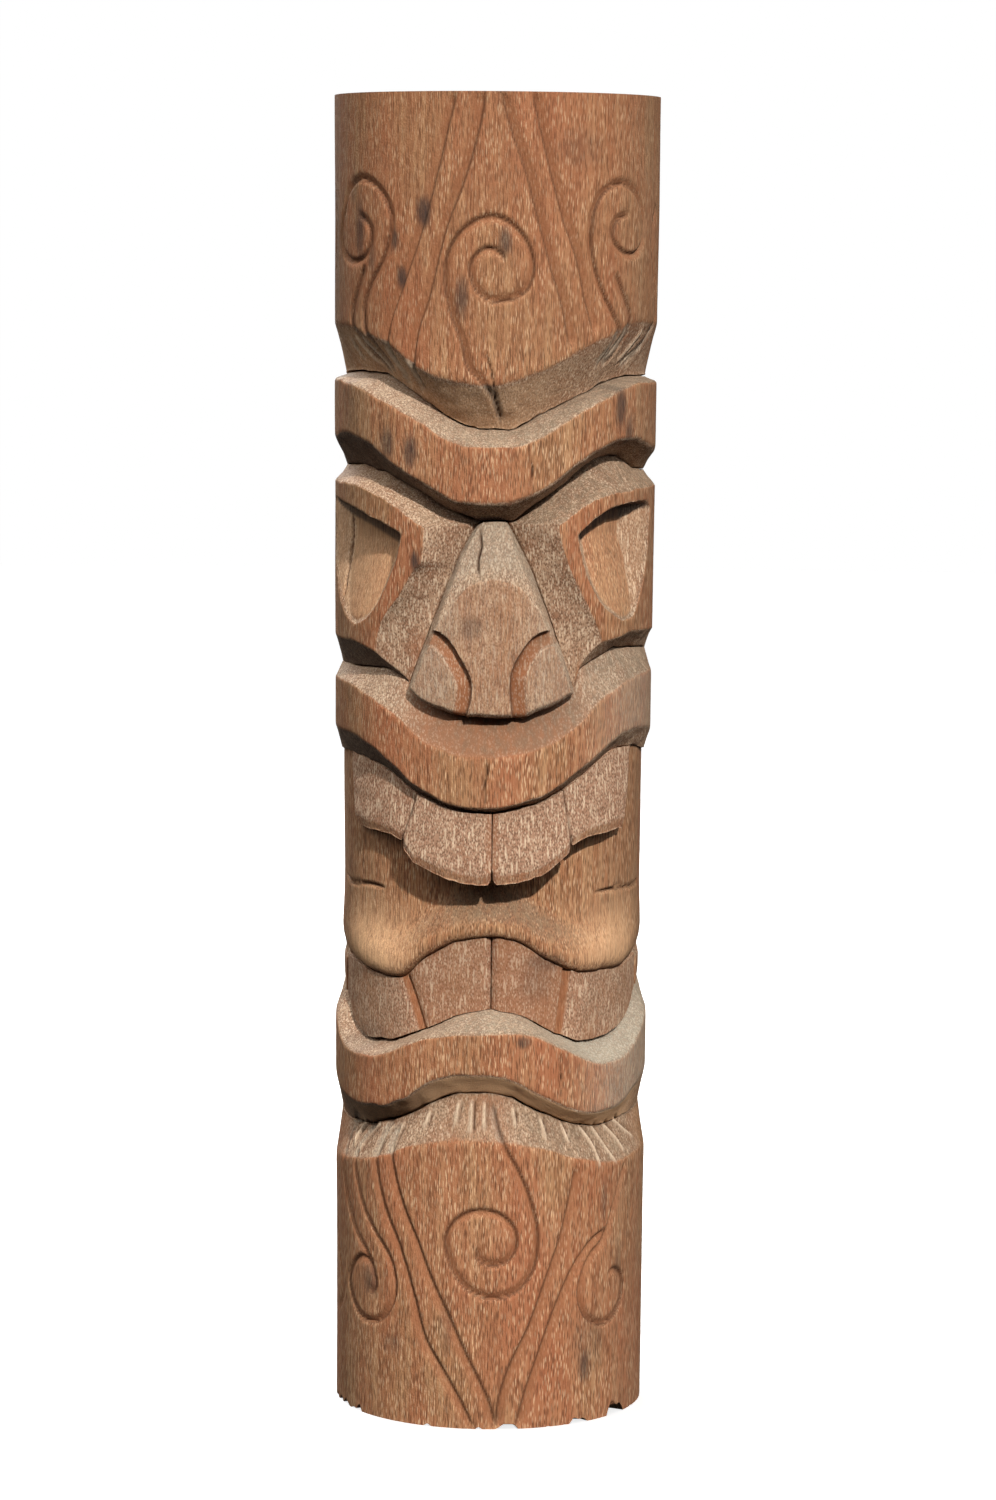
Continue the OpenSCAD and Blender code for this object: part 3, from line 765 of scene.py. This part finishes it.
def socket_cut(side, a, z):
    """Depth of an eye hollow, sheer under its lid and rising gently to its tip and outer rim, and the
    painted shadow in the strip under its lid."""
    lid, inner, outer = (course(points, 3) for points in SOCKETS[side])
    spots = flat(a, z)
    within = inside(np.concatenate([lid, inner, outer]), spots)
    to_tip = z - SOCKETS[side][1][-1][1]
    from_rim, from_lid = distance(outer, spots), distance(lid, spots)
    slope = np.minimum(1.3 * distance(inner, spots), np.minimum(from_rim, 1 + 0.4 * from_rim))
    slope = np.minimum(slope, 1 + 0.2 * np.maximum(0, to_tip))
    cut = np.minimum(np.minimum(SOCKET_D, slope), 12 * from_lid)
    # Painted shadow: the strip below the lid that its cast shadow would cover, about 0.65 to 0.85 of the
    # hollow's depth tall.
    lid_shadow = sinking(from_lid, 0.65 * cut, 0.85 * cut + 0.1)
    return np.where(within, cut, 0), np.where(within, lid_shadow * rising(cut, 2, 4), 0)


def fold_depth(s):
    """Depth of the valley between the nose and an eye, at a share of the way up."""
    return mix(LIP_BACK, VALLEY, s ** 1.5)


def eye(node, side):
    t = np.linspace(0, 1, 200) ** 1.2
    s = np.linspace(0, 1, 126)
    t, s = np.meshgrid(t, s, indexing="ij")
    fold_a = fold(side, s)
    a = side * mix(fold_a, WRAP_A, t)
    top, low = height("eye_top", a), height("lip_top", a)
    z = mix(low, top, s)
    lid = (top - z) / (top - height("eye_arris", a))
    foot = (z - low) / (height("eye_low", a) - low)
    inner = (np.abs(a) - fold_a) / (curve(EYE_INNER[side], z) - fold_a)
    slopes = np.maximum(np.maximum(VALLEY * (1 - lid), LIP_BACK * (1 - foot)), fold_depth(s) * (1 - inner))
    hollow, lid_shadow = socket_cut(side, a, z)
    worn = (0.5 if side < 0 else 0.2) * rising(hollow, 1, 3)
    cut = np.maximum(slopes, hollow) * run_out(a)
    cut = soften(soften(cut, 1, 1), 1, 0)
    if side < 0:
        a, z, cut, worn, lid_shadow = (grid[::-1] for grid in (a, z, cut, worn, lid_shadow))
    # Painted shade on the down-facing faces below the eye block, on the left.
    points, marks = finish_grid(a, z, cut, worn=worn, dirt=0.85 * (z < height("eye_low", a)))
    # The lid's cast shadow is painted dark on the hollow.
    marks["stain_and_shade"] = np.maximum(marks["stain_and_shade"], 0.85 * lid_shadow)
    carved_piece(node, "eyes_and_cheeks", a, z, points, marks)


eye("eye_left", -1)
eye("eye_right", 1)


# Nostril curves: where the sloped side lies, as for the grooves, and the course from the head.
NOSTRILS = [(-1, [(-26, 602), (-21, 602), (-16, 594), (-12, 581), (-9, 568), (-9, 555), (-11, 536)]),
            (1, [(24, 604), (18, 602), (13, 595), (9, 582), (7, 571), (7, 558), (8, 536)])]
NOSTRIL_D, NOSTRIL_W, NOSTRIL_STOP_W = 4.5, 10, 1.5  # depth, and width of the sloped and steep sides


def nostrils(a, z):
    """Depth of the nostril curves, and the marks that they leave."""
    spots = flat(a, z).reshape(-1, 2)
    depth, groove, line = np.zeros((3, len(spots)))
    for soft_side, points in NOSTRILS:
        path = course(points)
        near, d, _ = offset_from(path, spots, 60)
        d = d * soft_side
        fade = rising(np.linalg.norm(spots[near] - path[0], axis=1), 1, 12)
        slope = np.where(d > 0, 1 - d / NOSTRIL_W, 1 + d / NOSTRIL_STOP_W)
        keep_most(depth, near, NOSTRIL_D * fade * np.clip(slope, 0, 1))
        keep_most(groove, near, rising(d, -NOSTRIL_STOP_W, 0) * sinking(d, 7, NOSTRIL_W) * fade)
        # A dark line of painted shade along the nostril's stop cut.
        keep_most(line, near, 0.7 * bell(d, -0.4, 1.0) * fade)
    return [x.reshape(a.shape) for x in (depth, groove, line)]


BRIDGE_D = 18  # depth of the nose's bridge at its top
BRIDGE_TOP = 688  # height of its top
BRIDGE_FOOT = {0: 643, 9: 637, 15: 622, 22: 604, 36: 575}  # its foot, by angle to each side


def nose():
    t, s = np.meshgrid(np.linspace(-1, 1, 110), np.linspace(0, 1, 120), indexing="ij")
    half = np.where(t < 0, fold(-1, s), fold(1, s))
    a = t * half
    low = height("lip_top", a)
    z = mix(low, height("eye_top", a), s)
    foot = curve(BRIDGE_FOOT, np.abs(a))
    bridge = BRIDGE_D * np.clip((z - foot) / (BRIDGE_TOP - foot), 0, 1)
    to_fold = (1 - np.abs(t)) * half * MM_PER_DEGREE
    flank = (fold_depth(s) - 1) * falling(to_fold, mix(7, 12, s)) ** 1.1
    lip = 3 * falling(z - low, 3)
    cut = soften(soften(np.maximum(np.maximum(bridge, flank), lip), 1, 1), 1, 0)
    depth, groove, line = nostrils(a, z)
    points, marks = finish_grid(a, z, cut + depth, cross_least=0.25)
    marks["groove"] = np.maximum(marks["groove"], 1.3 * groove)
    marks["line"] = np.maximum(marks["line"], line)
    wings = rising(np.abs(a), 9, 18) * sinking(bridge, 0, 2)
    marks["pale"] = (0.08 + 0.25 * rising(bridge, 0.5, 6) + 0.2 * wings) * (1 - groove)
    carved_piece("nose", "nose", a, z, points, marks)


nose()


def tooth(number, low_sides, high_sides, low_line, high_line, cuts, face, rows, step, lift=0):
    """A tooth between two slanted sides, with eased edges and, where lift isn't 0, rounded lower
    corners. cuts are its depths at its foot and top, and face its extra cut by how far a spot is
    from its sides towards and away from the middle of the face."""
    count = round((low_sides[1] - low_sides[0]) * MM_PER_DEGREE / step) + 1
    u, s = np.meshgrid(np.linspace(0, 1, count), np.linspace(0, 1, rows), indexing="ij")
    left, right = (mix(low, high, s) for low, high in zip(low_sides, high_sides))
    a = mix(left, right, u)
    width = (right - left) * MM_PER_DEGREE
    corner = falling(np.minimum(u, 1 - u) * width, 4) ** 2
    z_low = height(low_line, a) + (lift + 3.5 * corner if lift else 0)
    z = mix(z_low, height(high_line, a), s)
    inner, outer = u * width, (1 - u) * width
    if number <= 2:
        inner, outer = outer, inner
    cut = mix(*cuts, s) + face(inner, outer)
    return a, z, soften(soften(cut, 1, 0), 1, 1)


def from_middle(number, a):
    """How far spots of a tooth are, in degrees, from its side towards the middle of the face."""
    return a.max(0) - a if number <= 2 else a - a.min(0)


UNDER_ROWS = 9  # rows of the flat underside of an upper tooth
EDGE_SHARE = 0.16  # share of an upper tooth's height that its upright edge takes


def upper_tooth(number, low_sides, high_sides, sunk, lift):
    """An upper tooth: its face leans out to a short upright edge, over a flat underside. It is sunk
    behind the middle teeth, and its edge is lifted above the line of the bite."""

    def face(inner, outer):
        return sunk + 0.8 * falling(inner, 2.2) + 1.8 * falling(outer, 2.2)

    a, z, cut = tooth(number, low_sides, high_sides, "bite", "teeth_top", (1.5, ROOT_CUT), face,
                      44, 1.4, lift)
    edge = np.clip(EDGE_SHARE - np.linspace(0, 1, a.shape[1]), 0, 1)[None, :] / EDGE_SHARE
    cut = cut + 2.5 * edge
    under_z = np.repeat(z[:, :1], UNDER_ROWS, 1) + 0.5
    under_cut = mix(30, cut[:, :1], np.linspace(0, 1, UNDER_ROWS + 1)[None, :-1])
    under_a = np.repeat(a[:, :1], UNDER_ROWS, 1)
    edge = np.concatenate([np.ones_like(under_z), edge * np.ones_like(z)], 1)
    a, z, cut = (np.concatenate(pair, 1) for pair in ((under_a, a), (under_z, z), (under_cut, cut)))
    red = 0
    if number in (2, 3):
        to_neighbour = a.max() - a if number == 2 else a - a.min()
        red = 0.6 * sinking(to_neighbour * MM_PER_DEGREE, 3, 6)
    points, marks = finish_grid(a, z, cut, red=red, cross_least=0.9 - 0.6 * rising(edge, 0, 0.3))
    if number in (1, 4):
        shade = 0.6 * sinking(from_middle(number, a) * MM_PER_DEGREE, 0.8, 2.4)
        marks["line"] = np.maximum(marks["line"], shade)
    carved_piece(f"upper_tooth_{number}", "teeth", a, z, points, marks)


ROOT_CUT = 5  # depth of the upper teeth at their top
# Upper teeth: sides at the foot and the top, how far they are sunk, and how far they are lifted.
UPPER_TEETH = [((-66, -36), (-75, -30), 4.0, 3.0), ((-36, 0), (-30, 0), 0.0, -1.5),
               ((0, 31), (0, 28), 0.0, -1.0), ((31, 61), (28, 69), 3.0, 1.5)]
for number, sizes in enumerate(UPPER_TEETH, 1):
    upper_tooth(number, *sizes)


def mouth_share(a):
    """Share of its depth that the mouth has at an angle, less towards its corners."""
    return np.cos(np.radians(np.minimum(90, np.abs(a)))) ** 2


def tongue_cut(a, up):
    """Depth of the tongue at an angle and a height above its lower edge, where it rolls under."""
    roll = 14 * (1 - np.sqrt(1 - falling(up, 28) ** 2))
    middle = mix(11, 32, ease((up + 6) / 52)) + 0.8 * roll
    side = mix(5, 8, ease(up / 60)) + 0.8 * roll
    return mix(side, middle, mouth_share(a))


TONGUE_A = 85  # angle at which the tongue meets the cheeks
TONGUE_ROWS = 90
CHEEK_ROWS = 110


def tongue():
    a = columns(-TONGUE_A, TONGUE_A)
    row_low, row_high = np.where(a < 0, 66, 61), np.where(a < 0, 75, 69)
    beside = np.clip((np.abs(a) - row_low) / (row_high - row_low), 0, 1)
    under = curve(LINES["bite"], np.clip(a, -65, 65)) + 3
    roof = mix(under, height("teeth_top", a), beside)
    low = height("tongue_low", a)
    grid_a, z = sheet(a, low, roof, TONGUE_ROWS)
    up = z - low[:, None]
    lobes = rising(np.abs(grid_a), 25, 55) * sinking(np.abs(grid_a), 62, 84)
    worn = lobes * sinking(up, 15, 75) * rising(up, 0, 10)
    finished("tongue", "tongue", grid_a, z, tongue_cut(grid_a, up), cross_share=0.1,
             worn=worn * np.where(grid_a < 0, 1.0, 0.7))


def lower_tooth(number, low_sides, high_sides):
    """A lower tooth, with a stop cut along the side towards the middle and a slope at the other."""
    soft, soft_w = (3.0, 5) if number in (2, 3) else (4.5, 11)

    def face(inner, outer):
        return 1.2 * falling(outer, 3) + soft * falling(inner, soft_w)

    a, z, cut = tooth(number, low_sides, high_sides, "gum", "tongue_low", (25, 22), face, 40, 1.6)
    cut = mix(8, cut, mouth_share(a) ** 0.6)
    points, marks = finish_grid(a, z, cut, cross_least=0.6, red={2: 0.4, 3: 0.65}.get(number, 0))
    if number in (1, 4):
        inner = from_middle(number, a)
        stripe = sinking(inner * MM_PER_DEGREE, 6, 9)
        marks["groove"] = stripe
        marks["cross"] *= 1 - stripe
        marks["grey"] = np.maximum(marks["grey"], 0.3 * rising(inner, 8, 16))
    carved_piece(f"lower_tooth_{number}", "teeth", a, z, points, marks)


def cheek(node, side):
    a = columns(TONGUE_A, WRAP_A) if side > 0 else columns(-WRAP_A, -TONGUE_A)
    grid_a, z = sheet(a, height("gum", a), height("teeth_top", a), CHEEK_ROWS)
    over_teeth = z - height("tongue_low", a)[:, None]
    cut = np.where(over_teeth > 0, tongue_cut(grid_a, over_teeth), 8)
    cut = cut * sinking(np.abs(grid_a), TONGUE_A, 115)
    finished(node, "eyes_and_cheeks", grid_a, z, soften(cut, 3, 1))


tongue()
# Lower teeth: sides at the foot and the top.
LOWER_TEETH = [((-85, -30), (-85, -38)), ((-30, 0), (-38, 0)), ((0, 30), (0, 33)), ((30, 85), (33, 85))]
for number, sides in enumerate(LOWER_TEETH, 1):
    lower_tooth(number, *sides)
cheek("cheek_left", -1)
cheek("cheek_right", 1)


def log_columns():
    """Angles of the log's columns: close together on the face, wider apart on the back."""
    front = np.concatenate([np.arange(0, 68, 0.66), np.arange(68, 100, 1.3), np.arange(100, WRAP_A, 2.5)])
    front = np.concatenate([-front[:0:-1], front])
    back = np.linspace(WRAP_A + 0.05, 360 - WRAP_A - 0.05, 42)
    return np.concatenate([[-WRAP_A], front, [WRAP_A], back])


def chips(a):
    """How far the foot of the log is chipped away at an angle."""
    ring = np.stack([90 * np.sin(np.radians(a)), 90 * np.cos(np.radians(a)), 0 * a], -1)
    ragged = noise(ring, 16, 3) + 0.7 * noise(ring, 5, 4)
    reach = 9 + 8 * bell(np.abs(a), 52, 14)
    return np.clip(reach * (ragged - 0.15), 0, 13)


CHECK_D = 3  # depth of a drying check in the top


def log():
    a = log_columns()
    signed = np.where(a > 180, a - 360, a)
    carved = np.abs(signed) <= WRAP_A
    depth = run_out(signed)
    flush = np.zeros_like(a)
    beard_top, beard_edge = height("beard_top", signed), height("beard_edge", signed)
    brow_top, crown_edge = height("brow_top", signed), height("crown_edge", signed)
    z_low, cut_low = stations([(flush, flush), (beard_edge, flush), (beard_top, BEARD_BACK * depth)],
                              (106, 24))
    z_high, cut_high = stations([(brow_top, VALLEY * depth), (crown_edge, flush),
                                 (np.full_like(a, LOG_H), flush)], (22, 98))
    z_mid, cut_mid = stations([(line, np.where(carved, log_r(line) - HEART_R, 0))
                               for line in (beard_top, brow_top)], (24,))
    z_low, cut_low = soften(z_low, 1, 1), soften(cut_low, 3, 1)
    z_high, cut_high = soften(z_high, 1, 1), soften(cut_high, 3, 1)
    z = np.concatenate([z_low, z_mid, z_high], 1)
    cut = np.concatenate([cut_low, cut_mid, cut_high], 1)
    z = z + chips(signed)[:, None] * falling(z, 30)
    grid_a = np.repeat(signed[:, None], z.shape[1], 1)
    bevel_painted_light = rising(-z, -crown_edge[:, None], -crown_edge[:, None] + 6) * (z > brow_top[:, None] - 1)
    # Painted light: the crown's bevel on the left, in shade, is lightened to stand in for light bounced
    # onto it.
    points, marks = finish_grid(grid_a, z, cut, red=0.35 * rising(z, 800, 830),
                                worn=0.5 * bevel_painted_light * (depth * sinking(signed, 0, 50))[:, None])
    points[:, -1, 2] = LOG_H
    cols, rows = z.shape

    rings = np.linspace(1, 0, 14)[1:-1]
    top_rim, base_rim = points[:, -1], points[:, 0]
    top = np.stack([mix([0, 0, LOG_H], top_rim, k) for k in rings], 1)
    base = np.stack([mix([0, 0, 0], base_rim * [1, 1, 0], k) for k in rings], 1)
    base[:, 0, 2] = base_rim[:, 2] * 0.35
    check = top_checks(grid_a[:, :1], rings)
    top[..., 2] -= CHECK_D * check + 0.15 * (1 + np.sin(top[..., 0] / 3))
    grid = np.arange(cols * rows).reshape(cols, rows)
    top_grid = cols * rows + np.arange(check.size).reshape(cols, -1)
    base_grid = top_grid + check.size
    centre_top = cols * rows + 2 * check.size
    upper = np.concatenate([grid[:, -1:], top_grid], 1)
    lower = np.concatenate([grid[:, :1], base_grid], 1)
    faces = []
    for i in range(cols):
        j = (i + 1) % cols
        faces += quads(grid[i], grid[j]) + quads(upper[i], upper[j])
        faces.append([int(upper[i, -1]), int(upper[j, -1]), centre_top])
        faces += quads(lower[j], lower[i])
        faces.append([int(lower[j, -1]), int(lower[i, -1]), centre_top + 1])
    everything = np.concatenate([points.reshape(-1, 3), top.reshape(-1, 3), base.reshape(-1, 3),
                                 [[0, 0, LOG_H], [0, 0, 0]]])
    ends = np.ones(2 * check.size + 2)
    # The checks in the top are painted dark as the shade inside them.
    end_marks = {"cross": ends, "end": ends, "grey": 0.3 * ends,
                 "line": np.concatenate([check.ravel(), 0 * check.ravel(), [0, 0]])}
    for mark in MARKS:
        marks[mark] = np.concatenate([marks[mark].ravel(), end_marks.get(mark, 0 * ends)])
    add_mesh("log", "log", everything, faces, marks)


def top_checks(a, rings):
    """Where the drying checks run in from the rim of the top, from 0 to 1."""
    check = 0 * a * rings
    for at, reach in ((-62, 0.45), (-13, 0.3), (38, 0.5), (95, 0.35), (156, 0.55), (-120, 0.4)):
        away = np.abs((a - at + 180) % 360 - 180) * MM_PER_DEGREE * rings
        wide = np.clip(1.2 - away / 3, 0, 1)
        check = np.maximum(check, wide * rising(rings, 1 - reach, 1.1 - reach))
    return check


log()

# --- Floor, light and camera ---


def stage_thing(name, g, colour, strength, unseen):
    """Finishes the mesh just made: it glows white, and some rays don't see it."""
    made = bpy.context.object
    made.name = name
    g.set(g.shader.inputs["Base Color"], colour)
    g.set(g.shader.inputs["Emission Color"], (1, 1, 1))
    g.shader.inputs["Emission Strength"].default_value = strength
    made.data.materials.append(g.material)
    for ray in unseen:
        setattr(made, "visible_" + ray, False)
    made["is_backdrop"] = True
    return made


def floor():
    bpy.ops.mesh.primitive_circle_add(vertices=96, radius=9, fill_type="NGON")
    g = Graph("pale_floor")
    colour = g.blend(g.noise((0.5, 0.5, 0.5), 2.0), (0.84, 0.84, 0.83), (0.88, 0.88, 0.87))
    g.shader.inputs["Roughness"].default_value = 0.9
    return stage_thing("floor", g, colour, 0.8, ("diffuse", "glossy"))


def backdrop():
    bpy.ops.mesh.primitive_uv_sphere_add(segments=48, ring_count=24, radius=14)
    stage_thing("backdrop", Graph("white_backdrop"), (0, 0, 0), 1.0,
                ("diffuse", "glossy", "shadow", "transmission"))


def light(name, kind, energy, colour, azimuth, elevation, away=4):
    """A light round the figure that points at its middle. Azimuth 0 is in front."""
    data = bpy.data.lights.new(name, kind)
    data.energy = energy
    data.color = colour
    made = bpy.data.objects.new(name, data)
    turn, lift = math.radians(azimuth), math.radians(elevation)
    made.location = (away * math.sin(turn) * math.cos(lift), -away * math.cos(turn) * math.cos(lift),
                     0.5 + away * math.sin(lift))
    made.rotation_euler = (math.radians(90) - lift, 0, turn)
    scene.collection.objects.link(made)
    return made


# Suns: name, power, colour, azimuth, elevation and angle across. The last one lights the floor.
SUNS = [("key", 4.3, (1.0, 0.945, 0.87), 20, 38, 2.5),
        ("sky", 1.5, (1.0, 0.97, 0.90), -42, 64, 50),
        ("left_fill", 1.05, (1.0, 0.96, 0.89), -68, 36, 40),
        ("right_fill", 1.1, (1.0, 0.98, 0.93), 78, 34, 50),
        ("over_floor", 0.9, (1, 1, 1), -20, 65, 80)]


def lights(ground):
    for name, energy, colour, azimuth, elevation, across in SUNS:
        lamp = light(name, "SUN", energy, colour, azimuth, elevation)
        lamp.data.angle = math.radians(across)
        lit = bpy.data.collections.new("lit_by_" + name)
        for thing in [ground] if name == "over_floor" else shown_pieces():
            lit.objects.link(thing)
        lamp.light_linking.receiver_collection = lit
    back = light("back_fill", "AREA", 70, (1.0, 0.98, 0.95), 200, 35, away=3.5)
    back.data.size = 2.0
    world = bpy.data.worlds.new("soft_room")
    scene.world = world
    world.use_nodes = True
    sky = world.node_tree.nodes["Background"].inputs
    sky["Color"].default_value = 0.95, 0.97, 1, 1
    sky["Strength"].default_value = 0.03
    scene.view_settings.view_transform = "Standard"


def camera():
    data = bpy.data.cameras.new("camera")
    data.sensor_width = 36
    data.lens = 107.6
    made = bpy.data.objects.new("camera", data)
    made.location = (0.0039, -3.4232, 0.8881)
    made.rotation_mode = "ZXY"
    made.rotation_euler = (math.radians(90 - 6.42), 0, math.radians(0.44))
    scene.collection.objects.link(made)
    scene.camera = made


ground = floor()
backdrop()
lights(ground)
camera()
